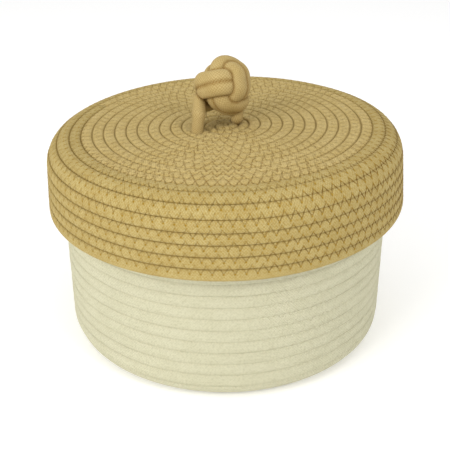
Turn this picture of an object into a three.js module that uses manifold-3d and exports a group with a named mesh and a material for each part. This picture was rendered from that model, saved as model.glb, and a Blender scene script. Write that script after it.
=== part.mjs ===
// Lidded rope basket: one cord coiled into a round basket, a second cord coiled into a
// lid that drops over it, and a short third rope tied as a round two-turn knob knot.
// Millimetres, +Z up. The origin is the middle of the face that the basket stands on.
import * as THREE from 'three';
import { mergeVertices } from 'three/addons/utils/BufferGeometryUtils.js';
import Module from 'manifold-3d';

// Lid: outline of the sewn shell
const LID_TOP = 156;
const LID_RADIUS = 128.3;
const LID_SHOULDER = 18.5;
const SKIRT_HEM = 100.5;
const SKIRT_FLARE = 2.7;

// Lid rope, pressed flat against its neighbours by the stitching
const LID_ROPE_WIDTH = 7.3;
const LID_ROPE_DEPTH = 7.8;
const LID_SPIRAL_PHASE = 0.8;

// Basket body: outline and rope
const BODY_CORNER = 15;
const BODY_ROPE_WIDTH = 8.2;
const BODY_ROPE_DEPTH = 8.6;

// Height of the row at which the wall's two lengths of rope meet
const WALL_JOIN = 62;

// Fits
const ROW_GAP = 0.7;
const LID_CLEARANCE = 1.2;
const SEAT_GAP = 0.3;
const LEG_CLEARANCE = 0.3;

// How a rope row looks in section: the outer side is a ridge, the sides touch lower down
const RIDGE_SHOULDER = 0.1;

// The rope's cut end is drawn out thin along the last steps of its last loop
const TAIL_STEPS = 6;
const TAIL_WIDTH = 0.35;

// Steps of a loop, and the radius within which a loop needs only half of them
const LOOP_STEPS = 18;
const SMALL_LOOP_RADIUS = 30;

// Handle: a knob knot on two legs that pass down between the lid's rows
const KNOT_WIDTH = 7.5;
const KNOT_ROPE = 9.9;
const KNOT_SHRINK = 0.775;
const KNOT_SQUASH = 0.95;
const KNOT_HEIGHT = 26.2;
const KNOT_YAW = -36;
const KNOT_ROLL = -8;
const KNOT_TILT = -26;
const KNOT_OFFSET = [0.7, 1];
const LEG_DIAMETER = 7.6;
const LEG_LENGTH = 4;
const KNOT_STRAND = 6.1;
const FRONT_LEG = { azimuth: 216, row: 2 };
const REAR_LEG = { azimuth: 34, row: 1 };
const TAIL_LENGTH = 26;
const TAIL_BEND = 7;
const HANDLE_SIDES = 5;
const HANDLE_STEP = 5.4;

const TURN = 2 * Math.PI;
const SMALL_LOOP_STEPS = LOOP_STEPS / 2;
const DEGREE = Math.PI / 180;
const LID_PITCH = LID_ROPE_WIDTH + ROW_GAP;
const BODY_PITCH = BODY_ROPE_WIDTH + ROW_GAP;
const LID_UNDERSIDE = LID_TOP - LID_ROPE_DEPTH;
const BODY_RADIUS = LID_RADIUS - LID_ROPE_DEPTH - LID_CLEARANCE;

const wasm = await Module();
wasm.setup();

// The half outline of a round shell, from the axis outwards along a flat disc, round a
// corner and along a wall. It is measured along the middle of the rope's depth.
function meridian({ flatZ, side, radius, corner, depth, lean }) {
  const middleCorner = corner - depth / 2;
  const flat = radius - corner;
  const bend = middleCorner * (Math.PI / 2 - lean);
  return (distance) => {
    if (distance <= flat) {
      return { r: distance, z: flatZ, angle: 0 };
    }
    const angle = Math.min(distance - flat, bend) / middleCorner;
    const along = Math.max(0, distance - flat - bend);
    return {
      r: flat + middleCorner * Math.sin(angle) + along * Math.cos(angle),
      z: flatZ - side * (middleCorner * (1 - Math.cos(angle)) + along * Math.sin(angle)),
      angle,
    };
  };
}

function lidMeridian() {
  const wall = LID_TOP - LID_SHOULDER - SKIRT_HEM;
  const lean = Math.atan2(SKIRT_FLARE, wall);
  const middleCorner = LID_SHOULDER - LID_ROPE_DEPTH / 2;
  const flat = LID_RADIUS - LID_SHOULDER;
  const at = meridian({
    flatZ: LID_TOP - LID_ROPE_DEPTH / 2,
    side: 1,
    radius: LID_RADIUS,
    corner: LID_SHOULDER,
    depth: LID_ROPE_DEPTH,
    lean,
  });
  const length = flat + middleCorner * (Math.PI / 2 - lean) + wall / Math.cos(lean);
  return { at, side: 1, flat, length };
}

// The rim stands under the lid's rounded shoulder, which rests on it all the way round
function rimHeight() {
  const innerCorner = LID_SHOULDER - LID_ROPE_DEPTH;
  const halfRow = LID_PITCH / (2 * (LID_SHOULDER - LID_ROPE_DEPTH / 2));
  const reach = innerCorner * Math.cos(halfRow) - SEAT_GAP;
  const out = BODY_RADIUS - (LID_RADIUS - LID_SHOULDER);
  const rise = Math.sqrt(Math.max(0, reach * reach - out * out));
  return LID_TOP - LID_SHOULDER + rise + BODY_ROPE_WIDTH / 2;
}

function bodyMeridian() {
  const middleCorner = BODY_CORNER - BODY_ROPE_DEPTH / 2;
  const flat = BODY_RADIUS - BODY_CORNER;
  const at = meridian({
    flatZ: BODY_ROPE_DEPTH / 2,
    side: -1,
    radius: BODY_RADIUS,
    corner: BODY_CORNER,
    depth: BODY_ROPE_DEPTH,
    lean: 0,
  });
  const length = flat + middleCorner * (Math.PI / 2) + rimHeight() - BODY_CORNER;
  return { at, side: -1, flat, length };
}

// A point of the shell: so far along its half outline, so far out from the middle of the rope
function shellPoint(shell, distance, out) {
  const { r, z, angle } = shell.at(distance);
  return [r + out * Math.sin(angle), z + shell.side * out * Math.cos(angle)];
}

// The five corners of a rope row between its two seams: flat inside, a ridge outside
function ridgeSection(shell, low, high, depth) {
  const shoulder = RIDGE_SHOULDER * depth;
  return [
    shellPoint(shell, low, -depth / 2),
    shellPoint(shell, high, -depth / 2),
    shellPoint(shell, high, shoulder),
    shellPoint(shell, (low + high) / 2, depth / 2),
    shellPoint(shell, low, shoulder),
  ];
}

// The four corners of a row of the base, pressed flat by the floor and the basket's load
function flatSection(shell, low, high, depth) {
  return [
    shellPoint(shell, low, -depth / 2),
    shellPoint(shell, high, -depth / 2),
    shellPoint(shell, high, depth / 2),
    shellPoint(shell, low, depth / 2),
  ];
}

// A closed tube from rings of points, with flat ends
function skinRings(rings) {
  const sides = rings[0].length;
  const points = rings.flat();
  const first = points.length;
  const last = first + 1;
  const middle = (ring) => {
    const sum = ring.reduce((total, point) => total.add(point), new THREE.Vector3());
    return sum.divideScalar(ring.length);
  };
  points.push(middle(rings[0]), middle(rings[rings.length - 1]));
  const index = [];
  const end = (rings.length - 1) * sides;
  for (let k = 0; k < sides; k += 1) {
    const next = (k + 1) % sides;
    for (let i = 0; i < end; i += sides) {
      index.push(i + k, i + next, i + sides + next);
      index.push(i + k, i + sides + next, i + sides + k);
    }
    index.push(first, next, k);
    index.push(last, end + k, end + next);
  }
  const geometry = new THREE.BufferGeometry();
  const flatPoints = points.flatMap((point) => [point.x, point.y, point.z]);
  geometry.setAttribute('position', new THREE.Float32BufferAttribute(flatPoints, 3));
  geometry.setIndex(index);
  return geometry;
}

// Turns a closed geometry inside out where its faces point inwards
function faceOutwards(geometry) {
  const point = geometry.attributes.position;
  const index = geometry.index.array;
  const corner = (n) => new THREE.Vector3().fromBufferAttribute(point, index[n]);
  let volume = 0;
  for (let n = 0; n < index.length; n += 3) {
    volume += corner(n).dot(corner(n + 1).cross(corner(n + 2)));
  }
  if (volume < 0) {
    for (let n = 0; n < index.length; n += 3) {
      [index[n], index[n + 1]] = [index[n + 1], index[n]];
    }
  }
  geometry.computeVertexNormals();
  return geometry;
}

// The steps of a coil, in whole turns about the axis: every loop uses the same azimuths,
// so that the flat facets of neighbouring loops never meet, and small loops skip every other
function coilSteps(coil, from, to) {
  const steps = [];
  for (let n = Math.round(from * LOOP_STEPS); n <= Math.round(to * LOOP_STEPS); n += 1) {
    const turn = n / LOOP_STEPS;
    const small = coil.pitch * (turn + coil.phase) < SMALL_LOOP_RADIUS;
    if (!small || n % 2 === 0) {
      steps.push(turn);
    }
  }
  return steps;
}

// One rope wound side by side along a shell: each loop fills the strip between two seams
function coilRings(coil, from, to, tail) {
  const half = ROW_GAP / 2;
  return coilSteps(coil, from, to).map((turn) => {
    const seam = coil.pitch * (turn + coil.phase - 0.5);
    const drawn = tail ? Math.max(0, 1 - ((to - turn) * LOOP_STEPS) / TAIL_STEPS) : 0;
    const width = (coil.pitch - ROW_GAP) * (1 - drawn * (1 - TAIL_WIDTH));
    const section = coil.section(coil.shell, seam + half, seam + half + width, coil.depth);
    const azimuth = turn * TURN;
    return section.map(([r, z]) => (
      new THREE.Vector3(r * Math.cos(azimuth), r * Math.sin(azimuth), z)
    ));
  });
}

// Leaves room for the end of the rope before, which the first ring of this one meets
function easeStart(rings) {
  const [first, second] = rings;
  const length = first[0].distanceTo(second[0]);
  rings[0] = first.map((point, k) => point.clone().lerp(second[k], ROW_GAP / length));
  return rings;
}

// The least gap between one loop of a coil and the next, measured on points of both
function coilGap(rings) {
  const places = rings.map((ring) => ring.map((point) => ({
    point,
    azimuth: Math.round((Math.atan2(point.y, point.x) / TURN) * LOOP_STEPS),
  })));
  let least = Infinity;
  for (let i = 0; i < rings.length; i += 1) {
    const reach = Math.min(rings.length, i + LOOP_STEPS + 2);
    for (let j = i + LOOP_STEPS / 2; j < reach; j += 1) {
      if (places[i][0].azimuth === places[j][0].azimuth) {
        least = Math.min(least, sectionGap(rings[i], rings[j]));
      }
    }
  }
  return least;
}

// The least distance from the corners of one section to the sides of another, both ways
function sectionGap(one, two) {
  let least = Infinity;
  const side = new THREE.Line3();
  const near = new THREE.Vector3();
  for (const [from, to] of [[one, two], [two, one]]) {
    for (const point of from) {
      for (let k = 0; k < to.length; k += 1) {
        side.set(to[k], to[(k + 1) % to.length]);
        side.closestPointToPoint(point, true, near);
        least = Math.min(least, near.distanceTo(point));
      }
    }
  }
  return least;
}

function toSolid(geometry) {
  const bare = geometry.clone();
  bare.deleteAttribute('normal');
  bare.deleteAttribute('uv');
  const merged = mergeVertices(bare, 1e-4);
  return new wasm.Manifold(new wasm.Mesh({
    numProp: 3,
    vertProperties: new Float32Array(merged.attributes.position.array),
    triVerts: new Uint32Array(merged.index.array),
  }));
}

function toGeometry(solid) {
  const mesh = solid.getMesh();
  const geometry = new THREE.BufferGeometry();
  geometry.setAttribute('position', new THREE.BufferAttribute(mesh.vertProperties, 3));
  geometry.setIndex(new THREE.BufferAttribute(mesh.triVerts, 1));
  geometry.computeVertexNormals();
  return geometry;
}

// Where a leg passes through the lid: on the seam outside the given row of the spiral
function legFoot({ azimuth, row }) {
  const radius = LID_PITCH * (azimuth / 360 + row + LID_SPIRAL_PHASE - 0.5);
  return new THREE.Vector3(
    radius * Math.cos(azimuth * DEGREE),
    radius * Math.sin(azimuth * DEGREE),
    0,
  );
}

// The knot's route in rope widths about its middle. Level loops lie outermost at the front
// and back, side loops at the left and right, and top loops above and below.
function knotRoute() {
  const out = 2.1;
  const bend = 1.5;
  const inn = 1.08;
  const cut = 0.9;
  const half = 0.5;
  const levelLoop = (z) => [
    [-inn, 0, z], [-cut, bend, z], [0, out, z], [cut, bend, z],
    [inn, 0, z], [cut, -bend, z], [0, -out, z],
  ];
  const sideLoop = (y) => [
    [-out, y, 0], [-bend, y, -cut], [0, y, -inn], [bend, y, -cut], [out, y, 0],
  ];
  const topLoop = (x) => [
    [x, 0, out], [x, -cut, bend], [x, -inn, 0], [x, -cut, -bend], [x, 0, -out],
  ];
  return [
    [-2.4, -2.7, -2.95], [-2.4, -1.55, -0.2], [-2.1, -0.2, -0.7],
    ...levelLoop(-half), [-1.3, -1.8, -0.3], ...levelLoop(half),
    [-1.3, -1.75, 1], [-1.9, -1, cut],
    ...sideLoop(-half), [bend, -half, cut], [0, -half, inn], [-bend, 0, cut], ...sideLoop(half),
    [1.75, 1, 1.3], [1, 0.9, 1.9],
    ...topLoop(half), [half, cut, -bend], [half, inn, 0], [half, cut, bend], ...topLoop(-half),
    [0.3, 1.2, -2.3], [0.2, 1.7, -3.04], [0.03, 1.75, -3.7],
  ];
}

function smoothCurve(points) {
  return new THREE.CatmullRomCurve3(points, false, 'centripetal');
}

// Pulls the knot tight: every point moves to the middle of its neighbours, and any two
// strands closer than a rope's width push each other apart, until they lie side by side
function tighten(route) {
  const spacing = 3;
  const rounds = 400;
  const pull = 0.1;
  const push = 0.25;
  const longestMove = 0.6;
  const stepsAlongRope = 4;
  const heldAtStart = 6;
  const heldAtEnd = 4;
  const start = smoothCurve(route);
  const count = Math.round(start.getLength() / spacing);
  const points = start.getSpacedPoints(count);
  const apart = new THREE.Vector3();
  for (let round = 0; round < rounds; round += 1) {
    const moves = points.map((point, i) => {
      if (i === 0 || i === count) {
        return new THREE.Vector3();
      }
      const middle = points[i - 1].clone().add(points[i + 1]).multiplyScalar(0.5);
      return middle.sub(point).multiplyScalar(pull);
    });
    for (let i = 0; i <= count; i += 1) {
      for (let j = i + stepsAlongRope; j <= count; j += 1) {
        apart.subVectors(points[j], points[i]);
        const distance = apart.length();
        if (distance < KNOT_ROPE) {
          apart.multiplyScalar(push * (KNOT_ROPE - distance) / distance);
          moves[i].sub(apart);
          moves[j].add(apart);
        }
      }
    }
    for (let i = heldAtStart; i <= count - heldAtEnd; i += 1) {
      points[i].add(moves[i].clampLength(0, longestMove));
    }
  }
  return points;
}

// The whole handle rope: tail under the lid, leg, knot, leg and tail
function handleRoute() {
  const turned = new THREE.Matrix4().makeRotationX(KNOT_TILT * DEGREE)
    .multiply(new THREE.Matrix4().makeRotationY(KNOT_ROLL * DEGREE))
    .multiply(new THREE.Matrix4().makeRotationZ(KNOT_YAW * DEGREE))
    .multiply(new THREE.Matrix4().makeScale(KNOT_SHRINK, KNOT_SHRINK, KNOT_SHRINK * KNOT_SQUASH));
  const knotMiddle = new THREE.Vector3(...KNOT_OFFSET, LID_TOP + KNOT_HEIGHT);
  const route = knotRoute().map((place) => new THREE.Vector3(...place).multiplyScalar(KNOT_WIDTH));
  const knot = tighten(route).map((point) => point.applyMatrix4(turned).add(knotMiddle));
  const leg = (where) => {
    const foot = legFoot(where);
    const outward = foot.clone().normalize();
    const tailZ = LID_UNDERSIDE - LEG_CLEARANCE - LEG_DIAMETER / 2;
    const bendZ = LID_UNDERSIDE - TAIL_BEND;
    const at = (out, z) => foot.clone().addScaledVector(outward, out).setZ(z);
    return [
      at(TAIL_LENGTH, tailZ),
      at(2 * TAIL_BEND, (tailZ + bendZ) / 2),
      at(TAIL_BEND, bendZ),
      at(TAIL_BEND / 4, bendZ + TAIL_BEND / 3),
      at(0, LID_UNDERSIDE),
      at(0, LID_TOP),
    ];
  };
  return [...leg(FRONT_LEG), ...knot, ...leg(REAR_LEG).reverse()];
}

// The handle's rings turn with the rope without twisting. In the knot the rope is squeezed.
function handleRings() {
  const curve = smoothCurve(handleRoute());
  curve.arcLengthDivisions = 1000;
  const length = curve.getLength();
  const count = Math.round(length / HANDLE_STEP);
  const frames = curve.computeFrenetFrames(count, false);
  const squeezed = LID_TOP + LEG_LENGTH;
  const rings = [];
  for (let i = 0; i <= count; i += 1) {
    const point = curve.getPointAt(i / count);
    const tight = THREE.MathUtils.smoothstep(point.z, squeezed, squeezed + KNOT_ROPE);
    const radius = THREE.MathUtils.lerp(LEG_DIAMETER, KNOT_STRAND, tight) / 2;
    const ring = [];
    for (let k = 0; k < HANDLE_SIDES; k += 1) {
      const angle = (k / HANDLE_SIDES) * TURN;
      ring.push(point.clone()
        .addScaledVector(frames.normals[i], radius * Math.cos(angle))
        .addScaledVector(frames.binormals[i], radius * Math.sin(angle)));
    }
    rings.push(ring);
  }
  return rings;
}

// The least gap between stretches of the handle rope, measured on points along its sides
function handleGap(rings) {
  const apart = Math.ceil((2 * KNOT_ROPE) / HANDLE_STEP);
  const points = rings.map((ring, i) => {
    const next = rings[Math.min(i + 1, rings.length - 1)];
    return ring.flatMap((point, k) => [point, point.clone().lerp(next[k], 0.5)]);
  });
  let least = Infinity;
  for (let i = 0; i < rings.length; i += 1) {
    for (let j = i + apart; j < rings.length; j += 1) {
      for (const one of points[i]) {
        for (const two of points[j]) {
          least = Math.min(least, one.distanceTo(two));
        }
      }
    }
  }
  return least;
}

function rope(name, color, geometry) {
  const material = new THREE.MeshStandardMaterial({ color, roughness: 0.95, metalness: 0 });
  material.name = `${name}_cotton`;
  const mesh = new THREE.Mesh(geometry, material);
  mesh.name = name;
  return mesh;
}

const CREAM = 0xddd9bb;
const TAN = 0xc8b178;
const WARM_TAN = 0xd0b87d;

const lidShell = lidMeridian();
const bodyShell = bodyMeridian();
const lidCoil = {
  shell: lidShell,
  pitch: LID_PITCH,
  phase: LID_SPIRAL_PHASE,
  depth: LID_ROPE_DEPTH,
  section: ridgeSection,
};
const bodyCoil = {
  shell: bodyShell,
  pitch: BODY_PITCH,
  phase: ((bodyShell.length / BODY_PITCH - 0.5) * SMALL_LOOP_STEPS % 1) / SMALL_LOOP_STEPS,
  depth: BODY_ROPE_DEPTH,
  section: ridgeSection,
};

// Turn numbers at which a coil starts, leaves the flat disc for the corner, and ends. Its
// edge is level with the shell's where the drawn-out tail begins.
function coilTurns(coil) {
  const rounding = 1e-6;
  const toStep = (distance) => {
    const turn = distance / coil.pitch - coil.phase;
    return Math.floor(turn * SMALL_LOOP_STEPS + rounding) / SMALL_LOOP_STEPS;
  };
  return {
    start: toStep(coil.pitch) + 1 / SMALL_LOOP_STEPS,
    edge: toStep(coil.shell.flat - coil.pitch / 2),
    end: toStep(coil.shell.length - coil.pitch / 2) + TAIL_STEPS / LOOP_STEPS,
  };
}

const bodyTurns = coilTurns(bodyCoil);
const lidTurns = coilTurns(lidCoil);
const baseRings = coilRings({ ...bodyCoil, section: flatSection }, bodyTurns.start, bodyTurns.edge);
const wallJoin = bodyTurns.edge + Math.round(WALL_JOIN / BODY_PITCH);
const lowerRings = easeStart(coilRings(bodyCoil, bodyTurns.edge, wallJoin));
const upperRings = easeStart(coilRings(bodyCoil, wallJoin, bodyTurns.end, true));
const topRings = coilRings(lidCoil, lidTurns.start, lidTurns.edge);
const skirtRings = easeStart(coilRings(lidCoil, lidTurns.edge, lidTurns.end, true));
const handle = handleRings();

// The lid's top with the rows pressed aside where the two legs of the handle pass through
function pierceTop(geometry) {
  const sides = 12;
  const radius = (LEG_DIAMETER / 2 + LEG_CLEARANCE) / Math.cos(Math.PI / sides);
  let solid = toSolid(geometry);
  for (const where of [FRONT_LEG, REAR_LEG]) {
    const bore = new THREE.CylinderGeometry(radius, radius, 3 * LID_ROPE_DEPTH, sides);
    bore.rotateX(Math.PI / 2);
    const foot = legFoot(where);
    bore.translate(foot.x, foot.y, LID_TOP - LID_ROPE_DEPTH / 2);
    solid = solid.subtract(toSolid(bore));
  }
  return toGeometry(solid);
}

for (const [name, rings] of Object.entries({
  basket_base: baseRings,
  basket_wall_lower: lowerRings,
  basket_wall_upper: upperRings,
  lid_top: topRings,
  lid_skirt: skirtRings,
})) {
  console.log(`${name}: least gap between loops ${coilGap(rings).toFixed(2)} mm`);
}
console.log(`handle_rope: least gap to itself ${handleGap(handle).toFixed(2)} mm`);

const basket = new THREE.Group();
basket.name = 'rope_basket';
basket.add(rope('basket_base', CREAM, faceOutwards(skinRings(baseRings))));
basket.add(rope('basket_wall_lower', CREAM, faceOutwards(skinRings(lowerRings))));
basket.add(rope('basket_wall_upper', CREAM, faceOutwards(skinRings(upperRings))));

const lid = new THREE.Group();
lid.name = 'lid';
lid.add(rope('lid_top', TAN, pierceTop(faceOutwards(skinRings(topRings)))));
lid.add(rope('lid_skirt', TAN, faceOutwards(skinRings(skirtRings))));
lid.add(rope('handle_rope', WARM_TAN, faceOutwards(skinRings(handle))));
basket.add(lid);

export default basket;
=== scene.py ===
import math
from collections import namedtuple

import bmesh
import bpy
import numpy as np
from mathutils import Matrix, Vector
from mathutils.kdtree import KDTree


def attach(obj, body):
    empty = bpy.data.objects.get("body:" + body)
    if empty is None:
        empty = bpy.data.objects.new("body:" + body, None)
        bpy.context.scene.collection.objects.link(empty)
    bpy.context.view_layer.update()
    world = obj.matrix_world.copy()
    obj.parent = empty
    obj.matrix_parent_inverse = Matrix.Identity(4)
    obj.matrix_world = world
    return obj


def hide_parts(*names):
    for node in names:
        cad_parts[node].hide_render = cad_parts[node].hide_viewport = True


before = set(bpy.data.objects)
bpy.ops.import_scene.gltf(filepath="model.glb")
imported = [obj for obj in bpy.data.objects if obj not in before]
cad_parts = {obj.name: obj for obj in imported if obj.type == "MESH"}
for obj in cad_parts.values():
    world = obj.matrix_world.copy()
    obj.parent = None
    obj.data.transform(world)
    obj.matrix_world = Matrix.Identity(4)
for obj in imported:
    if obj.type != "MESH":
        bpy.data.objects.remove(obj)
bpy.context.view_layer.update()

MM = 0.001
TURN = 2 * math.pi

# The lid and the body, in millimetres and with the part's own values
LID_TOP = 156.0
LID_RADIUS = 128.3
LID_SHOULDER = 18.5
SKIRT_HEM = 100.5
SKIRT_FLARE = 2.7
LID_PITCH = 8.0
LID_DEPTH = 7.8
LID_PHASE = 0.8
LID_CLEARANCE = 1.2
BODY_CORNER = 15.0
BODY_PITCH = 8.9
BODY_DEPTH = 8.6
BODY_RADIUS = LID_RADIUS - LID_DEPTH - LID_CLEARANCE
# Where the body's outline ends, 0.4 mm lower than in the part
RIM = 144.34

# As in the part, each coil ends on a ninth of a turn, with a tail drawn out over a third of one
PART_STEPS = 9
TAIL_TURNS = 1 / 3
TAIL_WIDTH = 0.35
# Width of the rope where a coil begins, as a share of the pitch
FIRST_WIDTH = 0.06

# Knob knot: its route is in rope widths. It is pulled tight to KNOT_ROPE and then shrunk
KNOT_WIDTH = 7.5
KNOT_ROPE = 9.9
KNOT_SHRINK = 0.775
KNOT_SQUASH = 0.95
KNOT_HEIGHT = 26.2
KNOT_YAW = -36.0
KNOT_ROLL = -8.0
KNOT_TILT = -26.0
KNOT_OFFSET = (0.7, 1.0)
KNOT_MIDDLE = np.array([*KNOT_OFFSET, LID_TOP + KNOT_HEIGHT])

# The handle's legs go down between the lid's rows, at an azimuth in degrees
Leg = namedtuple("Leg", "azimuth row")
FRONT_LEG = Leg(azimuth=216, row=2)
REAR_LEG = Leg(azimuth=34, row=1)
# The legs stay round. In the knot the same rope is pressed wide and flat
LEG_DIAMETER = 8.6
LEG_LENGTH = 7.0
LEG_CLEARANCE = 0.15
STRAND_WIDE = 11.6
STRAND_FLAT = 7.5
STRAND_RISE = 8.0
TAIL_LENGTH = 26.0
TAIL_BEND = 7.0
TAIL_GAP = 0.3
HANDLE_STEP = 0.8
HANDLE_SIDES = 28
# Strands nearer than this are pressed together and painted darker there as shade. Rings this close
# along the rope are the same strand
PINCH_SHADE_REACH = 2.0
PINCH_SHADE_FADE = 1.4
PINCH_SHADE_RINGS = 14

# The lid sits a little crooked: its right side rides up, as in the photograph
LID_LEAN = math.radians(1.46)
LEAN_HEIGHT = 125.0
# The skirt's zigzag is sewn most tightly at the photograph's right: there its rows close up, and its
# creases and thread are painted darker as shade
TIGHT_SIDE = math.radians(-20)
TIGHT_FALL = 1.5
TIGHT_CLOSING = 0.55

# Rows of rope: steps in each turn, share of the pitch that a row fills, and the least share
ROW_STEPS = 180
ROW_FILL = 0.998
LEAST_SHARE = 0.1
# The first turns are too tight to close: their seams gape, and their rows are rounder
GAPE_TURNS = 2.2
GAPE_ROUNDNESS = 2.5
# The mark of the free edge comes on within a sixtieth of a turn
FREE_EDGE_RISE = 60
# Unevenness along a rope, as waves of a height, a rate in each turn and a share of the seed
CREST_WAVES = ((0.10, 11.3, 1), (0.07, 31.7, 3))
STITCH_DRIFT = ((0.05, 2.9, 1), (0.04, 7.3, 2))
# The table of stitches along a coil: steps in each turn, turns past both ends, least radius
SEAM_STEPS = 90
SEAM_BEFORE = 1.2
SEAM_AFTER = 0.2
SEAM_RADIUS = 1.5

# Zigzag thread: length of a whole stitch along the seam, and how far it swings to either side
LID_STITCH = 6.8
BODY_STITCH = 7.4
TOP_REACH = 3.7
SKIRT_REACH = 2.7
BODY_REACH = 2.6
# Points of half a stitch, in stitches: on the seam, then before, at and after the needle hole
STITCH_POINTS = np.array([0.0, 0.19, 0.25, 0.31])
TIP_SWING = 0.97
TIP_DEPTH = 1.3
# Over a seam the thread lies as high as on the row this far from the row's middle
BRIDGED_FROM = 0.85
THREAD_SIDES = 4
THREAD_SIDE_WIDTH = 0.8
# Turn of a coil's first stitch, and turns from its last stitch to its tail's end
FIRST_STITCH = 0.6
LAST_STITCH = 1.05

# A rope's UV map is in centimetres along and around it
UV_UNIT = 10.0
# Cotton: width of a strand of the rows, and where its patches, the painted shade of its creases and
# its flecks fade in
ROW_STRAND = 1.8
PATCHY = (0.3, 0.7)
UNEVEN_CREASE_SHADE = (0.35, 0.65)
ROW_FLECKS = (0.4, 0.7)
PLAIN_FLECKS = (0.45, 0.75)
PLAIN_FLECK_DARKNESS = 0.2
# Its relief: heights of the weave and of its loose fibres, and the millimetres of a height of 1
WEAVE_HEIGHT = 0.3
ROW_FUZZ = 0.12
PLAIN_FUZZ = 0.15
ROW_RELIEF = 1.0
PLAIN_RELIEF = 0.8
# Shares of the painted shade: left in the faintest creases, lost by closed seams and by the sides'
# needle holes
FAINT_CREASE = 0.5
CLOSED_SEAM = 0.8
SIDE_HOLE_SHADE_CUT = 0.5


def crooked(points):
    """The lid's points as it sits on the rim."""
    x, y, z = points[:, 0], points[:, 1], points[:, 2] - LEAN_HEIGHT
    c, s = math.cos(LID_LEAN), math.sin(LID_LEAN)
    return np.stack([x * c - z * s, y, x * s + z * c + LEAN_HEIGHT], 1)


def run_length(path):
    """How far along a path each of its points lies."""
    return np.concatenate([[0], np.cumsum(np.linalg.norm(np.diff(path, axis=0), axis=1))])


def ripple(turn, seed, waves):
    """Slow and quick waves along a rope, added up."""
    return sum(height * np.sin(turn * rate + share * seed) for height, rate, share in waves)


class Shell:
    """The half outline of a round shell, measured along the middle of the rope's depth.

    It runs out along a flat disc, round a corner and along a wall. facing is 1 where the disc
    is on top, and -1 where it is the floor.
    """

    def __init__(self, flat_height, radius, corner, depth, facing, lean, wall):
        self.flat_height, self.facing = flat_height, facing
        self.corner = corner - depth / 2
        self.flat = radius - corner
        self.bend = self.corner * (math.pi / 2 - lean)
        self.length = self.flat + self.bend + wall

    def at(self, distance, out):
        """Radius and height of a point so far along the outline and so far out of its middle."""
        angle = np.clip(distance - self.flat, 0, self.bend) / self.corner
        along = np.maximum(0, distance - self.flat - self.bend)
        drop = self.corner * (1 - np.cos(angle)) + along * np.sin(angle)
        r = np.minimum(distance, self.flat) + self.corner * np.sin(angle) + along * np.cos(angle)
        z = self.flat_height + self.facing * (out * np.cos(angle) - drop)
        return r + out * np.sin(angle), z


class Coil:
    """A rope wound row by row round a shell and sewn to itself along its seams.

    start, edge and end are the turns at which it begins, reaches the corner and ends.
    """

    def __init__(self, shell, pitch, phase, depth, groove, roundness, tight_wall, stitch, seed):
        self.shell, self.pitch, self.phase, self.depth = shell, pitch, phase, depth
        self.groove, self.roundness, self.seed = groove, roundness, seed
        self.start = FIRST_WIDTH - 0.5 - phase
        self.edge = (shell.flat - pitch / 2) / pitch - phase
        whole_steps = math.floor(((shell.length - pitch / 2) / pitch - phase) * PART_STEPS + 1e-6)
        self.end = whole_steps / PART_STEPS + TAIL_TURNS
        self.tight_from = self.edge if tight_wall else math.inf
        turns = np.arange(self.start - SEAM_BEFORE, self.end + SEAM_AFTER, 1 / SEAM_STEPS)
        radius = shell.at(np.maximum(self.seam(turns), SEAM_RADIUS), 0)[0]
        sewn = np.cumsum(radius * (1 + ripple(turns, seed, STITCH_DRIFT))) * TURN / SEAM_STEPS
        self.seam_turns, self.seam_stitches = turns, sewn / stitch
        self.rope_length = np.cumsum(radius) * TURN / SEAM_STEPS

    def seam(self, turn):
        """Where the seam above a turn lies on the outline."""
        return self.pitch * (turn + self.phase + 0.5)

    def stitches(self, turn):
        """How many stitches of the seam above a turn are sewn by then."""
        return np.interp(turn, self.seam_turns, self.seam_stitches)

    def edges(self, turn):
        """The two seams of a row. The tail of the last row is drawn out thin."""
        high, low = self.seam(turn), np.maximum(self.seam(turn - 1), 0)
        drawn = np.clip(1 - (self.end - turn) / TAIL_TURNS, 0, 1)
        return low, low + (high - low) * (1 - (1 - TAIL_WIDTH) * drawn)

    def tightness_and_shade(self, turn):
        """1 where the zigzag is sewn most tightly and painted darkest as shade, 0 from 70 degrees
        away and before tight_from.
        """
        side = np.clip(1 - TIGHT_FALL * (1 - np.cos(turn * TURN - TIGHT_SIDE)), 0, 1)
        return side * np.clip(turn - self.tight_from, 0, 1)

    def crest(self, across, turn, share=1.0):
        """Height of a row's outer face over the outline's middle."""
        wave = -np.abs(ripple(turn, self.seed, CREST_WAVES))
        gape = np.clip(GAPE_TURNS - turn, 0, 1)
        roundness = self.roundness * (1 - gape) + GAPE_ROUNDNESS * gape
        groove = self.groove * share * (1 + gape) * (1 - TIGHT_CLOSING * self.tightness_and_shade(turn))
        return self.depth / 2 + wave - groove * np.abs(across) ** roundness


def lid_coil():
    lean = math.atan2(SKIRT_FLARE, LID_TOP - LID_SHOULDER - SKIRT_HEM)
    shell = Shell(flat_height=LID_TOP - LID_DEPTH / 2, radius=LID_RADIUS, corner=LID_SHOULDER,
                  depth=LID_DEPTH, facing=1, lean=lean,
                  wall=(LID_TOP - LID_SHOULDER - SKIRT_HEM) / math.cos(lean))
    return Coil(shell, LID_PITCH, LID_PHASE, LID_DEPTH, groove=1.2, roundness=7.0,
                tight_wall=True, stitch=LID_STITCH, seed=1.3)


def body_coil():
    shell = Shell(flat_height=BODY_DEPTH / 2, radius=BODY_RADIUS, corner=BODY_CORNER,
                  depth=BODY_DEPTH, facing=-1, lean=0, wall=RIM - BODY_CORNER)
    phase = ((shell.length / BODY_PITCH - 0.5) * PART_STEPS % 1) / PART_STEPS
    return Coil(shell, BODY_PITCH, phase, BODY_DEPTH, groove=0.6, roundness=2.6,
                tight_wall=False, stitch=BODY_STITCH, seed=4.1)


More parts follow.
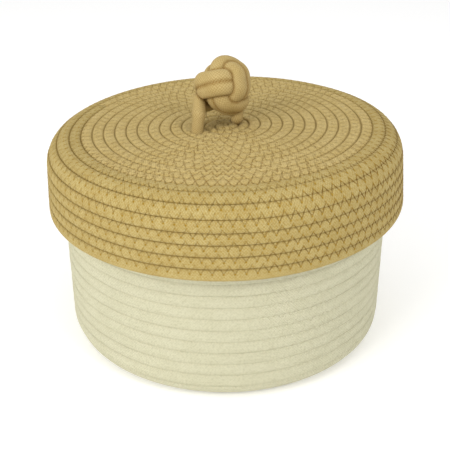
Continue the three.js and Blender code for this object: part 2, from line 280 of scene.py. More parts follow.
def rolled_tube(name, points, around, along, marks, seat=None):
    """A closed tube: a flat grid rolled up along its rings, sewn shut and capped.

    seat moves the finished points to where the piece sits.
    """
    steps, sides = len(points) - 1, points.shape[1]
    bm = bmesh.new()
    bm.loops.layers.uv.new("rope")
    bmesh.ops.create_grid(bm, x_segments=steps, y_segments=sides, size=0.5)
    mesh = bpy.data.meshes.new(name)
    bm.to_mesh(mesh)
    bm.free()
    flat = np.zeros(len(mesh.vertices) * 3, np.float32)
    mesh.vertices.foreach_get("co", flat)
    flat = flat.reshape(-1, 3)
    ring = np.rint((flat[:, 0] + 0.5) * steps).astype(int)
    side = np.rint((flat[:, 1] + 0.5) * sides).astype(int)
    place = points[ring, side % sides]
    if seat is not None:
        place = seat(place)
    mesh.vertices.foreach_set("co", (place * MM).astype(np.float32).ravel())
    corner = np.zeros(len(mesh.loops), np.int32)
    mesh.loops.foreach_get("vertex_index", corner)
    uv = np.stack([along[ring[corner]], around[side[corner]]], 1) / UV_UNIT
    mesh.uv_layers["rope"].data.foreach_set("uv", uv.astype(np.float32).ravel())
    for label, values in marks.items():
        layer = mesh.attributes.new(label, "FLOAT", "POINT")
        layer.data.foreach_set("value", values[ring, side % sides].astype(np.float32))
    sew_tube(mesh, ring, side, steps, sides)
    return mesh


def sew_tube(mesh, ring, side, steps, sides):
    """Joins the grid's two long edges and closes its ends."""
    bm = bmesh.new()
    bm.from_mesh(mesh)
    bm.verts.ensure_lookup_table()
    number = np.full((steps + 1, sides + 1), -1)
    number[ring, side] = np.arange(len(ring))
    pairs = zip(number[:, sides].tolist(), number[:, 0].tolist())
    bmesh.ops.weld_verts(bm, targetmap={bm.verts[a]: bm.verts[b] for a, b in pairs})
    bmesh.ops.holes_fill(bm, edges=[edge for edge in bm.edges if edge.is_boundary], sides=0)
    bmesh.ops.recalc_face_normals(bm, faces=bm.faces)
    bm.to_mesh(mesh)
    bm.free()
    mesh.polygons.foreach_set("use_smooth", np.ones(len(mesh.polygons), bool))


def piece(name, mesh, body, material, nodes=()):
    """Puts a mesh in the scene, riding on a body, for the nodes that it replaces."""
    made = bpy.data.objects.new(name, mesh)
    bpy.context.scene.collection.objects.link(made)
    mesh.materials.append(material)
    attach(made, body)
    if nodes:
        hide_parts(*nodes)


# One row in section: from the middle of its inner face round the outer face and back
OUTER = np.array([-1, -0.965, -0.88, -0.7, -0.4, 0, 0.4, 0.7, 0.88, 0.965, 1])
INNER = np.array([1, 0.9, 0.6, 0])
SECTION_ACROSS = np.concatenate([-INNER[::-1], OUTER, INNER[:-1]])
SECTION_IS_OUTER = np.repeat([False, True, False], [len(INNER), len(OUTER), len(INNER) - 1])


def row_mesh(name, coil, first, last, seat=None):
    """The rope of a coil from one turn to another."""
    steps = round((last - first) * ROW_STEPS)
    turn = np.linspace(first, last, steps + 1)[:, None]
    low, high = coil.edges(turn)
    across = SECTION_ACROSS[None, :] * np.ones_like(turn)
    middle, half = (low + high) / 2, (high - low) / 2
    share = np.clip(half * 2 / coil.pitch, LEAST_SHARE, 1)
    outer = coil.crest(across, turn, share)
    inner = coil.depth / 2 - coil.groove * share * np.abs(across) ** coil.roundness
    out = np.where(SECTION_IS_OUTER, outer, -inner)
    r, z = coil.shell.at(middle + ROW_FILL * half * across, out)
    azimuth = turn * TURN
    points = np.stack([r * np.cos(azimuth), r * np.sin(azimuth), z], 2)
    middle_ring = points[len(points) // 2]
    around = run_length(np.concatenate([middle_ring, middle_ring[:1]]))
    along = np.interp(turn[:, 0], coil.seam_turns, coil.rope_length)
    everywhere = np.ones_like(across)
    marks = {
        "row_across": across,
        "row_width": 2 * half * everywhere,
        "stitch_high": coil.stitches(turn) * everywhere,
        "stitch_low": coil.stitches(turn - 1) * everywhere,
        "free_edge": np.clip((turn - coil.end + 1) * FREE_EDGE_RISE, 0, 1) * everywhere,
        "tight": coil.tightness_and_shade(turn) * everywhere,
        "sideways": np.cos(azimuth) ** 2 * everywhere,
    }
    return rolled_tube(name, points, around, along, marks, seat)


def tube_points(path, radius, sides, spin=0.0):
    """Rings round a path, turned so that they don't twist."""
    ahead = np.gradient(path, axis=0)
    ahead /= np.linalg.norm(ahead, axis=1)[:, None]
    normal = np.cross(ahead[0], [0.0, 0.0, 1.0])
    normals = []
    for direction in ahead:
        normal = normal - direction * (normal @ direction)
        normal = normal / np.linalg.norm(normal)
        normals.append(normal)
    normals = np.array(normals)
    sideways = np.cross(ahead, normals)
    angle = np.arange(sides) / sides * TURN + spin
    return path[:, None] + radius * (normals[:, None] * np.cos(angle)[None, :, None]
                                     + sideways[:, None] * np.sin(angle)[None, :, None])


def thread_mesh(name, coil, first, last, reach, thickness, proud, seat=None):
    """The zigzag sewing thread along the seams between two turns, so far proud of the rope.

    It is marked for painted shade where it is sewn most tightly.
    """
    begin, finish = coil.stitches(first), coil.stitches(last)
    half_stitches = np.arange(math.ceil(begin * 2), math.floor(finish * 2)) / 2
    stitch = (half_stitches[:, None] + STITCH_POINTS[None, :]).ravel()
    turn = np.interp(stitch, coil.seam_stitches, coil.seam_turns)
    swing = 1 - 4 * np.abs((stitch + 0.25) % 1 - 0.5)
    off = reach * swing
    across = 1 - 2 * np.abs(off) / coil.pitch
    row = turn + (off > 0)
    out = coil.crest(np.minimum(across, BRIDGED_FROM), row) + proud
    out = np.where(np.abs(swing) > TIP_SWING, out - TIP_DEPTH, out)
    r, z = coil.shell.at(coil.seam(turn) + off, out)
    azimuth = turn * TURN
    path = np.stack([r * np.cos(azimuth), r * np.sin(azimuth), z], 1)
    points = tube_points(path, thickness / 2, THREAD_SIDES, math.pi / THREAD_SIDES)
    around = np.arange(THREAD_SIDES + 1) * thickness * THREAD_SIDE_WIDTH
    # The thread is painted darker as shade where the zigzag is sewn most tightly
    marks = {"pinched_shade": coil.tightness_and_shade(turn)[:, None] * np.ones(THREAD_SIDES)}
    return rolled_tube(name, points, around, run_length(path), marks, seat)


def leg_foot(leg):
    """The place on a seam where a leg goes through the lid, set down to the height 0."""
    radius = LID_PITCH * (leg.azimuth / 360 + leg.row + LID_PHASE - 0.5)
    angle = math.radians(leg.azimuth)
    return np.array([radius * math.cos(angle), radius * math.sin(angle), 0.0])


def knot_route():
    """The knob knot in rope widths about its middle: two turns each way round."""
    out, bend, inn, cut, half = 2.1, 1.5, 1.08, 0.9, 0.5

    def level(z):
        return [(-inn, 0, z), (-cut, bend, z), (0, out, z), (cut, bend, z),
                (inn, 0, z), (cut, -bend, z), (0, -out, z)]

    def side(y):
        return [(-out, y, 0), (-bend, y, -cut), (0, y, -inn), (bend, y, -cut), (out, y, 0)]

    def top(x):
        return [(x, 0, out), (x, -cut, bend), (x, -inn, 0), (x, -cut, -bend), (x, 0, -out)]

    return np.array([
        (-2.4, -2.7, -2.95), (-2.4, -1.55, -0.2), (-2.1, -0.2, -0.7),
        *level(-half), (-1.3, -1.8, -0.3), *level(half),
        (-1.3, -1.75, 1), (-1.9, -1, cut),
        *side(-half), (bend, -half, cut), (0, -half, inn), (-bend, 0, cut), *side(half),
        (1.75, 1, 1.3), (1, 0.9, 1.9),
        *top(half), (half, cut, -bend), (half, inn, 0), (half, cut, bend), *top(-half),
        (0.3, 1.2, -2.3), (0.2, 1.7, -3.04), (0.03, 1.75, -3.7),
    ], float)


def smooth_path(points, spacing, fine_steps=24):
    """Evenly spaced points on a centripetal curve through the given ones."""
    points = np.asarray(points, float)
    before, after = 2 * points[0] - points[1], 2 * points[-1] - points[-2]
    ends = np.concatenate([[before], points, [after]])
    fine = []
    for a, b, c, d in zip(ends, ends[1:], ends[2:], ends[3:]):
        t1 = np.linalg.norm(b - a) ** 0.5
        t2 = t1 + np.linalg.norm(c - b) ** 0.5
        t3 = t2 + np.linalg.norm(d - c) ** 0.5
        t = np.linspace(t1, t2, fine_steps, endpoint=False)[:, None]
        ab = a + (b - a) * t / t1
        bc = b + (c - b) * (t - t1) / (t2 - t1)
        cd = c + (d - c) * (t - t2) / (t3 - t2)
        abc = ab + (bc - ab) * t / t2
        bcd = bc + (cd - bc) * (t - t1) / (t3 - t1)
        fine.append(abc + (bcd - abc) * (t - t1) / (t2 - t1))
    fine = np.concatenate([*fine, points[-1:]])
    length = run_length(fine)
    at = np.linspace(0, length[-1], round(length[-1] / spacing) + 1)
    return np.stack([np.interp(at, length, fine[:, axis]) for axis in range(3)], 1)


def tighten(route, rounds=400, spacing=3.0, straighten=0.1, spread=0.25, longest_move=0.6):
    """Pulls the knot tight until its strands lie side by side. Its two ends stay put."""
    neighbours, held_first, held_last = 4, 6, 4
    points = smooth_path(route, spacing)
    numbers = np.arange(len(points))
    not_neighbours = np.subtract.outer(numbers, numbers) <= -neighbours
    for _ in range(rounds):
        moves = np.zeros_like(points)
        moves[1:-1] = ((points[:-2] + points[2:]) / 2 - points[1:-1]) * straighten
        apart = points[None, :] - points[:, None]
        distance = np.linalg.norm(apart, axis=2) + 1e-9
        too_near = not_neighbours & (distance < KNOT_ROPE)
        push = np.where(too_near, spread * (KNOT_ROPE - distance) / distance, 0)
        shove = push[:, :, None] * apart
        moves += shove.sum(0) - shove.sum(1)
        size = np.linalg.norm(moves, axis=1)[:, None]
        moves *= np.minimum(1, longest_move / np.maximum(size, 1e-9))
        moves[:held_first] = 0
        moves[-held_last:] = 0
        points = points + moves
    return points


def leg_path(leg):
    """From the end of a tail under the lid, up through it, to the lid's top."""
    foot = leg_foot(leg)
    outward = foot / np.linalg.norm(foot)
    under = LID_TOP - LID_DEPTH
    tail_z = under - TAIL_GAP - LEG_DIAMETER / 2
    bend_z = under - TAIL_BEND
    bends = ((TAIL_LENGTH, tail_z), (2 * TAIL_BEND, (tail_z + bend_z) / 2), (TAIL_BEND, bend_z),
             (TAIL_BEND / 4, bend_z + TAIL_BEND / 3), (0, under), (0, LID_TOP))
    return [foot + outward * out + [0, 0, z] for out, z in bends]


def handle_path():
    """The whole handle rope: up one leg, through the knot and down the other."""
    yaw, roll, tilt = (math.radians(angle) for angle in (KNOT_YAW, KNOT_ROLL, KNOT_TILT))
    turned = (Matrix.Rotation(tilt, 3, "X") @ Matrix.Rotation(roll, 3, "Y")
              @ Matrix.Rotation(yaw, 3, "Z"))
    squash = KNOT_SHRINK * np.array([1, 1, KNOT_SQUASH])
    knot = (tighten(knot_route() * KNOT_WIDTH) * squash) @ np.array(turned).T + KNOT_MIDDLE
    return smooth_path([*leg_path(FRONT_LEG), *knot, *leg_path(REAR_LEG)[::-1]], HANDLE_STEP)


def pinched_shade(rings):
    """1 where a strand of the knot is pressed against another and is painted in shade, 0 where it is
    free.
    """
    count, sides = rings.shape[:2]
    tree = KDTree(count * sides)
    for number, point in enumerate(rings.reshape(-1, 3)):
        tree.insert(point, number)
    tree.balance()
    nearest = np.full(count * sides, PINCH_SHADE_REACH)
    for number, point in enumerate(rings.reshape(-1, 3)):
        for _, other, distance in tree.find_range(point, PINCH_SHADE_REACH):
            if abs(other // sides - number // sides) > PINCH_SHADE_RINGS:
                nearest[number] = min(nearest[number], distance)
    return np.clip((PINCH_SHADE_REACH - nearest) / PINCH_SHADE_FADE, 0, 1).reshape(count, sides)


def handle_mesh():
    """The handle rope, round in its legs and oval in its knot."""
    path = handle_path()
    rise = np.clip((path[:, 2] - LID_TOP - LEG_LENGTH) / STRAND_RISE, 0, 1)
    rise = (rise * rise * (3 - 2 * rise))[:, None]
    wide = LEG_DIAMETER + (STRAND_WIDE - LEG_DIAMETER) * rise
    flat = LEG_DIAMETER + (STRAND_FLAT - LEG_DIAMETER) * rise
    outward = path - KNOT_MIDDLE
    outward /= np.linalg.norm(outward, axis=1)[:, None]
    ring = tube_points(path, 0.5, HANDLE_SIDES) - path[:, None]
    height = (ring * outward[:, None]).sum(2)
    flattened = outward[:, None] * (height * (flat - wide))[:, :, None]
    points = path[:, None] + ring * wide[:, :, None] + flattened
    around = np.arange(HANDLE_SIDES + 1) / HANDLE_SIDES * TURN * LEG_DIAMETER / 2
    # Painted shade where the knot's strands press on one another
    marks = {"pinched_shade": pinched_shade(points)}
    return rolled_tube("handle_rope_knot", points, around, run_length(path), marks, crooked)


def pressed_aside(points):
    """Rows of the lid's top pushed apart round the two legs, then the lid's lean."""
    points = points.copy()
    need = LEG_DIAMETER / 2 + LEG_CLEARANCE
    for leg in (FRONT_LEG, REAR_LEG):
        offset = points[:, :2] - leg_foot(leg)[:2]
        distance = np.linalg.norm(offset, axis=1) + 1e-6
        push = np.maximum(0, need - distance)
        points[:, :2] += offset / distance[:, None] * push[:, None]
    return crooked(points)


# Shader nodes
def calc(tree, operation, *values):
    node = tree.nodes.new("ShaderNodeMath")
    node.operation = operation
    for socket, value in zip(node.inputs, values):
        if isinstance(value, (int, float)):
            socket.default_value = value
        else:
            tree.links.new(value, socket)
    return node.outputs[0]


def fade(tree, value, start, stop, low=0.0, high=1.0):
    """Runs smoothly from low to high as value goes from start to stop."""
    node = tree.nodes.new("ShaderNodeMapRange")
    node.interpolation_type = "SMOOTHSTEP"
    tree.links.new(value, node.inputs["Value"])
    limits = {"From Min": start, "From Max": stop, "To Min": low, "To Max": high}
    for label, limit in limits.items():
        if isinstance(limit, (int, float)):
            node.inputs[label].default_value = limit
        else:
            tree.links.new(limit, node.inputs[label])
    return node.outputs["Result"]


def noise(tree, vector, scale, detail=2.0, roughness=0.5):
    node = tree.nodes.new("ShaderNodeTexNoise")
    node.inputs["Scale"].default_value = scale
    node.inputs["Detail"].default_value = detail
    node.inputs["Roughness"].default_value = roughness
    tree.links.new(vector, node.inputs["Vector"])
    return node.outputs["Fac"]


def attribute(tree, label):
    node = tree.nodes.new("ShaderNodeAttribute")
    node.attribute_name = label
    return node.outputs["Fac"]


def new_group(label, inputs, outputs):
    """A node group whose inputs are numbers, or vectors where no default is given."""
    tree = bpy.data.node_groups.new(label, "ShaderNodeTree")
    for name, value in inputs.items():
        kind = "NodeSocketVector" if value is None else "NodeSocketFloat"
        socket = tree.interface.new_socket(name=name, in_out="INPUT", socket_type=kind)
        if value is not None:
            socket.default_value = value
    for name in outputs:
        tree.interface.new_socket(name=name, in_out="OUTPUT", socket_type="NodeSocketFloat")
    return tree, tree.nodes.new("NodeGroupInput").outputs, tree.nodes.new("NodeGroupOutput").inputs


def build_stitch_marks():
    """Where the zigzag pulls the cotton in: its creases, its needle holes and the seams, as masks
    for painted shade and for relief.
    """
    tree, given, result = new_group(
        "stitch_marks",
        {"Reach": SKIRT_REACH, "Period": LID_STITCH, "Slope": 0.55, "Crease": 0.45, "Hole": 0.75,
         "Seam": 0.55, "Faint": 0.3},
        ["Crease", "Hole", "Seam", "Puff"],
    )
    past_reach, past_hem, puff_from, puff_to = 0.2, 20.0, 0.05, 0.9

    def swing(stitches):
        """How far the thread lies to one side of its seam."""
        phase = calc(tree, "PINGPONG", calc(tree, "ADD", stitches, 0.25), 0.5)
        return calc(tree, "MULTIPLY", calc(tree, "MULTIPLY_ADD", phase, 4.0, -1.0), given["Reach"])

    def from_needle(stitches, tip, from_seam):
        """Distance from the nearest needle hole, which lies just past the thread's turn."""
        phase = calc(tree, "PINGPONG", calc(tree, "ADD", stitches, tip), 0.5)
        beside = calc(tree, "MULTIPLY", phase, given["Period"])
        above = calc(tree, "SUBTRACT", calc(tree, "SUBTRACT", from_seam, given["Reach"]), past_reach)
        squares = calc(tree, "ADD", calc(tree, "MULTIPLY", beside, beside),
                       calc(tree, "MULTIPLY", above, above))
        return calc(tree, "SQRT", squares)

    across = attribute(tree, "row_across")
    half = calc(tree, "MULTIPLY", attribute(tree, "row_width"), 0.5)
    from_low = calc(tree, "MULTIPLY", calc(tree, "ADD", across, 1.0), half)
    from_high = calc(tree, "MULTIPLY", calc(tree, "SUBTRACT", 1.0, across), half)
    # The hem and the rim have no next row, so their seam is taken far away
    from_high = calc(tree, "MULTIPLY_ADD", attribute(tree, "free_edge"), past_hem, from_high)
    low, high = attribute(tree, "stitch_low"), attribute(tree, "stitch_high")
    near_low = calc(tree, "ABSOLUTE", calc(tree, "SUBTRACT", from_low, swing(low)))
    near_high = calc(tree, "ABSOLUTE", calc(tree, "ADD", from_high, swing(high)))
    thread = calc(tree, "MULTIPLY", calc(tree, "MINIMUM", near_low, near_high), given["Slope"])
    # The needle holes along a row's upper seam show less than those along its lower one
    low_hole = from_needle(low, -0.25, from_low)
    high_hole = calc(tree, "ADD", from_needle(high, -0.75, from_high), given["Faint"])
    hole = calc(tree, "MINIMUM", low_hole, high_hole)
    seam = calc(tree, "MINIMUM", from_low, from_high)
    tree.links.new(fade(tree, thread, 0.0, given["Crease"], 1.0, 0.0), result["Crease"])
    tree.links.new(fade(tree, hole, 0.0, given["Hole"], 1.0, 0.0), result["Hole"])
    tree.links.new(fade(tree, seam, 0.0, given["Seam"], 1.0, 0.0), result["Seam"])
    from_sewing = calc(tree, "MINIMUM", thread, hole)
    tree.links.new(fade(tree, from_sewing, puff_from, puff_to), result["Puff"])
    return tree


def build_braid():
    """The braided cotton cover of a rope, with its loose fibres."""
    tree, given, result = new_group(
        "braided_cotton", {"Rope": None, "Strand": 1.5}, ["Weave", "Fleck", "Patch"])
    strand_lean, strand_wander, crossing = 0.85, 1.2, 0.15
    wander_scale, fleck_scale, patch_scale = 4.0, 7.0, 0.9

    def ridges(place):
        """Strands side by side, one for each strand's width."""
        strands = calc(tree, "DIVIDE", calc(tree, "ADD", place, wander), given["Strand"])
        return calc(tree, "SINE", calc(tree, "MULTIPLY", strands, math.pi))

    split = tree.nodes.new("ShaderNodeSeparateXYZ")
    tree.links.new(given["Rope"], split.inputs[0])
    along = calc(tree, "MULTIPLY", split.outputs["X"], UV_UNIT)
    around = calc(tree, "MULTIPLY", split.outputs["Y"], UV_UNIT)
    drift = calc(tree, "SUBTRACT", noise(tree, given["Rope"], wander_scale), 0.5)
    wander = calc(tree, "MULTIPLY", drift, strand_wander)
    lean = calc(tree, "MULTIPLY", around, strand_lean)
    right = ridges(calc(tree, "ADD", along, lean))
    left = ridges(calc(tree, "SUBTRACT", along, lean))
    over = fade(tree, calc(tree, "MULTIPLY", right, left), -crossing, crossing)
    right, left = calc(tree, "ABSOLUTE", right), calc(tree, "ABSOLUTE", left)
    weave = calc(tree, "ADD", calc(tree, "MULTIPLY", right, over),
                 calc(tree, "MULTIPLY", left, calc(tree, "SUBTRACT", 1.0, over)))
    tree.links.new(weave, result["Weave"])
    fleck = noise(tree, given["Rope"], fleck_scale, detail=3.0, roughness=0.7)
    tree.links.new(fleck, result["Fleck"])
    tree.links.new(noise(tree, given["Rope"], patch_scale), result["Patch"])
    return tree


STITCH_MARKS = build_stitch_marks()
BRAID = build_braid()


def group_node(tree, group, **values):
    node = tree.nodes.new("ShaderNodeGroup")
    node.node_tree = group
    for label, value in values.items():
        node.inputs[label].default_value = value
    return node


def mixed(tree, factor, first, second):
    """One colour into another. Each is a socket, or a plain colour."""
    node = tree.nodes.new("ShaderNodeMix")
    node.data_type = "RGBA"
    tree.links.new(factor, node.inputs[0])
    for socket, value in ((node.inputs[6], first), (node.inputs[7], second)):
        if isinstance(value, tuple):
            socket.default_value = (*value, 1)
        else:
            tree.links.new(value, socket)
    return node.outputs[2]


def linear(r, g, b):
    """A screen colour, 0 to 255, as the shader wants it."""
    def curve(c):
        return ((c / 255 + 0.055) / 1.055) ** 2.4 if c > 10 else c / 255 / 12.92
    return curve(r), curve(g), curve(b)


def cotton_material(label):
    """Matte cotton with a trace of fuzz, still without its colour."""
    material = bpy.data.materials.new(label)
    material.use_nodes = True
    shader = material.node_tree.nodes["Principled BSDF"]
    shader.inputs["Roughness"].default_value = 0.92
    shader.inputs["Specular IOR Level"].default_value = 0.1
    shader.inputs["Sheen Weight"].default_value = 0.03
    shader.inputs["Sheen Roughness"].default_value = 0.5
    return material, material.node_tree, shader


def braided(tree, strand, light, dark):
    """The braid's masks, and the rope's patchy colour."""
    rope_map = tree.nodes.new("ShaderNodeUVMap")
    rope_map.uv_map = "rope"
    braid = group_node(tree, BRAID, Strand=strand)
    tree.links.new(rope_map.outputs["UV"], braid.inputs["Rope"])
    colour = mixed(tree, fade(tree, braid.outputs["Patch"], *PATCHY), light, dark)
    return braid.outputs, colour


def scaled(tree, mask, strength):
    return calc(tree, "MULTIPLY", mask, strength)


def shade_between_strands(tree, braid, strength):
    """Painted shade between the braid's strands."""
    return scaled(tree, calc(tree, "SUBTRACT", 1.0, braid["Weave"]), strength)


def finish_cotton(tree, shader, shade, colour, shade_and_fleck_colour, height, distance):
    """Darkens the cotton towards its colour for painted shade and flecks, and gives it its relief,
    so many mm in depth.
    """
    shaded = mixed(tree, calc(tree, "MINIMUM", shade, 1.0), colour, shade_and_fleck_colour)
    tree.links.new(shaded, shader.inputs["Base Color"])
    bump = tree.nodes.new("ShaderNodeBump")
    bump.inputs["Distance"].default_value = distance * MM
    bump.inputs["Strength"].default_value = 1.0
    tree.links.new(height, bump.inputs["Height"])
    tree.links.new(bump.outputs["Normal"], shader.inputs["Normal"])


# A mark of the sewing: how wide it is in millimetres and how dark its painted shade is
Mark = namedtuple("Mark", "width strength")


def row_cotton(label, light, dark, shade_and_fleck_colour, reach, stitch, crease, hole, seam, relief, strand_shade_and_fleck,
               tight=0.0, side_shade_cut=0.0):
    """Cotton rope in sewn rows.

    tight deepens the painted shade of the creases where the zigzag is sewn most tightly, on the
    skirt's shaded side, and weakens the painted shade of the seams there as they close. The last
    argument takes painted shade from the creases and the needle holes at the left and right.
    """
    material, tree, shader = cotton_material(label)
    marks = group_node(tree, STITCH_MARKS, Reach=reach, Period=stitch, Crease=crease.width,
                       Hole=hole.width, Seam=seam.width,
                       Slope=math.cos(math.atan2(4 * reach, stitch))).outputs
    braid, colour = braided(tree, ROW_STRAND, light, dark)
    fleck = fade(tree, braid["Fleck"], *ROW_FLECKS)
    crease_shade = fade(tree, braid["Patch"], *UNEVEN_CREASE_SHADE, FAINT_CREASE * crease.strength,
                   crease.strength)
    hole_shade, seam_shade = hole.strength, seam.strength
    if tight:
        # Painted shade: creases darker, and seams less dark as they close, where the zigzag is sewn
        # most tightly
        tight_and_shaded = attribute(tree, "tight")
        crease_shade = calc(tree, "MULTIPLY_ADD", tight_and_shaded, tight, crease_shade)
        seam_shade = calc(tree, "MULTIPLY_ADD", tight_and_shaded, -CLOSED_SEAM * seam_shade, seam_shade)
    if side_shade_cut:
        # Less painted shade in the creases and needle holes at the left and right, following how the
        # light falls along the rows there
        sideways = attribute(tree, "sideways")
        crease_shade = calc(tree, "MULTIPLY_ADD", sideways, -side_shade_cut, crease_shade)
        crease_shade = calc(tree, "MAXIMUM", crease_shade, 0.0)
        hole_shade = calc(tree, "MULTIPLY_ADD", sideways, -SIDE_HOLE_SHADE_CUT * hole_shade, hole_shade)
    # Painted shade between the braid's strands, in the creases by the thread, in the needle holes
    # and in the seams' grooves; the flecks are the cotton's own darker tone
    shade = calc(tree, "ADD", shade_between_strands(tree, braid, strand_shade_and_fleck), scaled(tree, fleck, strand_shade_and_fleck))
    shade = calc(tree, "ADD", shade, scaled(tree, marks["Crease"], crease_shade))
    shade = calc(tree, "MAXIMUM", shade, scaled(tree, marks["Hole"], hole_shade))
    shade = calc(tree, "MAXIMUM", shade, scaled(tree, marks["Seam"], seam_shade))
    height = calc(tree, "ADD", scaled(tree, marks["Puff"], relief),
                  scaled(tree, braid["Weave"], WEAVE_HEIGHT))
    height = calc(tree, "ADD", height, scaled(tree, braid["Fleck"], ROW_FUZZ))
    height = calc(tree, "SUBTRACT", height, scaled(tree, marks["Hole"], relief))
    finish_cotton(tree, shader, shade, colour, shade_and_fleck_colour, height, ROW_RELIEF)
    return material


def plain_cotton(label, light, dark, shade_and_fleck_colour, strand, strand_shade_and_fleck, pinch_shade_strength=0.0):
    """Cotton rope or thread by itself, with painted shade by the given strength where its mesh is
    marked for it.
    """
    material, tree, shader = cotton_material(label)
    braid, colour = braided(tree, strand, light, dark)
    fleck = scaled(tree, fade(tree, braid["Fleck"], *PLAIN_FLECKS), PLAIN_FLECK_DARKNESS)
    shade = calc(tree, "ADD", shade_between_strands(tree, braid, strand_shade_and_fleck), fleck)
    if pinch_shade_strength:
        shade = calc(tree, "ADD", shade, scaled(tree, attribute(tree, "pinched_shade"), pinch_shade_strength))
    height = calc(tree, "ADD", scaled(tree, braid["Weave"], WEAVE_HEIGHT),
                  scaled(tree, braid["Fleck"], PLAIN_FUZZ))
    finish_cotton(tree, shader, shade, colour, shade_and_fleck_colour, height, PLAIN_RELIEF)
    return material


def cream_rope():
    return row_cotton(
        "cream_rope_cotton", light=linear(216, 213, 186), dark=linear(211, 208, 180),
        shade_and_fleck_colour=linear(150, 146, 108), reach=BODY_REACH, stitch=BODY_STITCH,
        crease=Mark(0.8, 0.0), hole=Mark(0.9, 0.6), seam=Mark(0.5, 0.1), relief=0.08, strand_shade_and_fleck=0.34)


def tan_rope_top_painted_lit():
    # The lid's top and skirt are one rope: the top is coloured lighter, as painted light on its
    # upward faces
    return row_cotton(
        "tan_rope_top_painted_lit", light=linear(210, 189, 129), dark=linear(202, 180, 118),
        shade_and_fleck_colour=linear(132, 97, 30), reach=TOP_REACH, stitch=LID_STITCH,
        crease=Mark(0.65, 0.52), hole=Mark(1.2, 1.0), seam=Mark(1.5, 0.42), relief=0.4, strand_shade_and_fleck=0.36,
        side_shade_cut=0.24)


def tan_rope_skirt_painted_shade():
    # The skirt is coloured darker than the top, as painted shade on its side faces; tight adds
    # painted shade to its creases where the zigzag is sewn most tightly
    return row_cotton(
        "tan_rope_skirt_painted_shade", light=linear(191, 174, 120), dark=linear(182, 163, 108),
        shade_and_fleck_colour=linear(154, 119, 12), reach=SKIRT_REACH, stitch=LID_STITCH,
        crease=Mark(0.5, 0.16), hole=Mark(1.35, 1.0), seam=Mark(0.55, 0.6), relief=0.28, strand_shade_and_fleck=0.4,
        tight=0.7)


def handle_rope():
    # Painted shade darkens the knot where its strands press together
    return plain_cotton(
        "handle_rope_cotton", light=linear(195, 174, 121), dark=linear(189, 167, 112),
        shade_and_fleck_colour=linear(132, 97, 34), strand=1.5, strand_shade_and_fleck=0.5, pinch_shade_strength=0.42)


def lid_top_thread():
    return plain_cotton(
        "lid_top_thread", light=linear(200, 178, 116), dark=linear(190, 167, 104),
        shade_and_fleck_colour=linear(122, 96, 40), strand=0.6, strand_shade_and_fleck=0.4)


def lid_skirt_thread():
    # The skirt's thread is coloured darker than the top's, as painted shade along the pulled-in
    # thread, and is painted darker still where its zigzag is sewn most tightly
    return plain_cotton(
        "tan_thread", light=linear(184, 157, 92), dark=linear(174, 147, 82),
        shade_and_fleck_colour=linear(122, 86, 22), strand=0.6, strand_shade_and_fleck=0.4, pinch_shade_strength=0.75)


def body_thread():
    return plain_cotton(
        "cream_thread", light=linear(224, 219, 190), dark=linear(216, 211, 180),
        shade_and_fleck_colour=linear(150, 145, 112), strand=0.6, strand_shade_and_fleck=0.3)


# The basket's pieces
def build_body_rows(body):
    cream = cream_rope()
    floor = row_mesh("basket_floor_rows", body, body.start, body.edge)
    piece("basket_floor_rows", floor, "basket", cream, ["basket_base"])
    wall = row_mesh("basket_wall_rows", body, body.edge, body.end)
    piece("basket_wall_rows", wall, "basket", cream,
          ["basket_wall_lower", "basket_wall_upper"])


def build_lid_rows(lid):
    top = row_mesh("lid_top_rows", lid, lid.start, lid.edge, pressed_aside)
    piece("lid_top_rows", top, "lid", tan_rope_top_painted_lit(), ["lid_top"])
    skirt = row_mesh("lid_skirt_rows", lid, lid.edge, lid.end, crooked)
    piece("lid_skirt_rows", skirt, "lid", tan_rope_skirt_painted_shade(), ["lid_skirt"])


def build_handle():
    piece("handle_rope_knot", handle_mesh(), "lid", handle_rope(), ["handle_rope"])


def build_body_stitching(body):
    cream = body_thread()
    spans = {"basket_wall_stitching": (body.edge - 1, body.end - LAST_STITCH),
             "basket_floor_stitching": (FIRST_STITCH, body.edge - 1)}
    for name, (first, last) in spans.items():
        thread = thread_mesh(name, body, first, last, BODY_REACH, thickness=0.36, proud=-0.11)
        piece(name, thread, "basket", cream)


def build_lid_stitching(lid):
    top = thread_mesh("lid_top_stitching", lid, FIRST_STITCH, lid.edge - 1, TOP_REACH,
                      thickness=0.36, proud=-0.05, seat=crooked)
    piece("lid_top_stitching", top, "lid", lid_top_thread())
    skirt = thread_mesh("lid_skirt_stitching", lid, lid.edge - 1, lid.end - LAST_STITCH, SKIRT_REACH,
                        thickness=0.46, proud=-0.05, seat=crooked)
    piece("lid_skirt_stitching", skirt, "lid", lid_skirt_thread())


def build_basket():
    body, lid = body_coil(), lid_coil()
    build_body_rows(body)
    build_lid_rows(lid)
    build_handle()
    build_body_stitching(body)
    build_lid_stitching(lid)


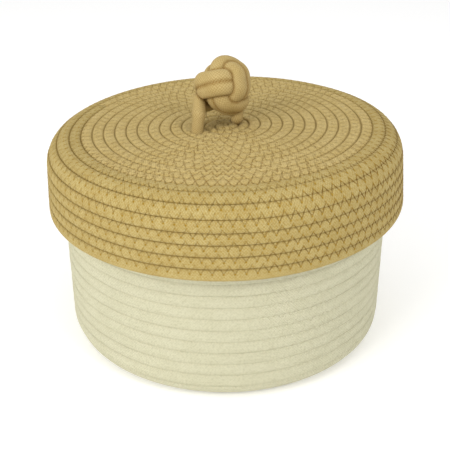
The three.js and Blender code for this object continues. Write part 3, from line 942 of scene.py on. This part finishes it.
# Floor, light and camera, in metres
def build_stage():
    bm = bmesh.new()
    bmesh.ops.create_grid(bm, x_segments=1, y_segments=1, size=6)
    mesh = bpy.data.meshes.new("floor")
    bm.to_mesh(mesh)
    bm.free()
    floor = bpy.data.objects.new("floor", mesh)
    bpy.context.scene.collection.objects.link(floor)
    material = bpy.data.materials.new("pale_floor")
    material.use_nodes = True
    shader = material.node_tree.nodes["Principled BSDF"]
    shader.inputs["Base Color"].default_value = (0.9, 0.9, 0.9, 1)
    shader.inputs["Emission Color"].default_value = (1, 1, 1, 1)
    shader.inputs["Emission Strength"].default_value = 0.19
    shader.inputs["Roughness"].default_value = 0.9
    shader.inputs["Specular IOR Level"].default_value = 0.1
    mesh.materials.append(material)


def area_light(name, place, aim, size, watts, colour):
    data = bpy.data.lights.new(name, "AREA")
    data.size, data.energy, data.color = size, watts, colour
    light = bpy.data.objects.new(name, data)
    bpy.context.scene.collection.objects.link(light)
    place, aim = Vector(place), Vector(aim)
    turn = (aim - place).to_track_quat("-Z", "Y").to_matrix().to_4x4()
    light.matrix_world = Matrix.Translation(place) @ turn


def build_light():
    world = bpy.data.worlds.new("studio")
    world.use_nodes = True
    background = world.node_tree.nodes["Background"]
    background.inputs["Color"].default_value = (1, 1, 1, 1)
    background.inputs["Strength"].default_value = 0.72
    bpy.context.scene.world = world
    area_light("key_softbox", place=(-1.0, -1.0, 0.85), aim=(0, 0, 0.1), size=0.8, watts=12.5,
               colour=(1, 0.985, 0.95))
    area_light("right_softbox", place=(0.85, -0.95, 1.1), aim=(0, 0, 0.1), size=0.4, watts=5.5,
               colour=(1, 0.98, 0.94))
    area_light("overhead", place=(0, 0, 1.5), aim=(0, 0, 0), size=1.6, watts=3.5,
               colour=(1, 1, 0.98))
    view = bpy.context.scene.view_settings
    view.view_transform = "Standard"
    view.look = "None"


def build_camera():
    """The photograph's camera, from the front and a little above."""
    distance, elevation, roll = 0.640, math.radians(27.6), math.radians(-0.2)
    photo_pixels, focal_pixels = 450, 833
    target = Vector((-0.0002, 0, 0.0735))
    back = Vector((0, -math.cos(elevation), math.sin(elevation)))
    data = bpy.data.cameras.new("camera")
    data.sensor_width = 36
    data.lens = data.sensor_width * focal_pixels / photo_pixels
    data.clip_start = 0.01
    camera = bpy.data.objects.new("camera", data)
    bpy.context.scene.collection.objects.link(camera)
    turn = (-back).to_track_quat("-Z", "Y").to_matrix() @ Matrix.Rotation(roll, 3, "Z")
    camera.matrix_world = Matrix.Translation(target + back * distance) @ turn.to_4x4()
    bpy.context.scene.camera = camera


build_camera()
build_basket()
build_stage()
build_light()
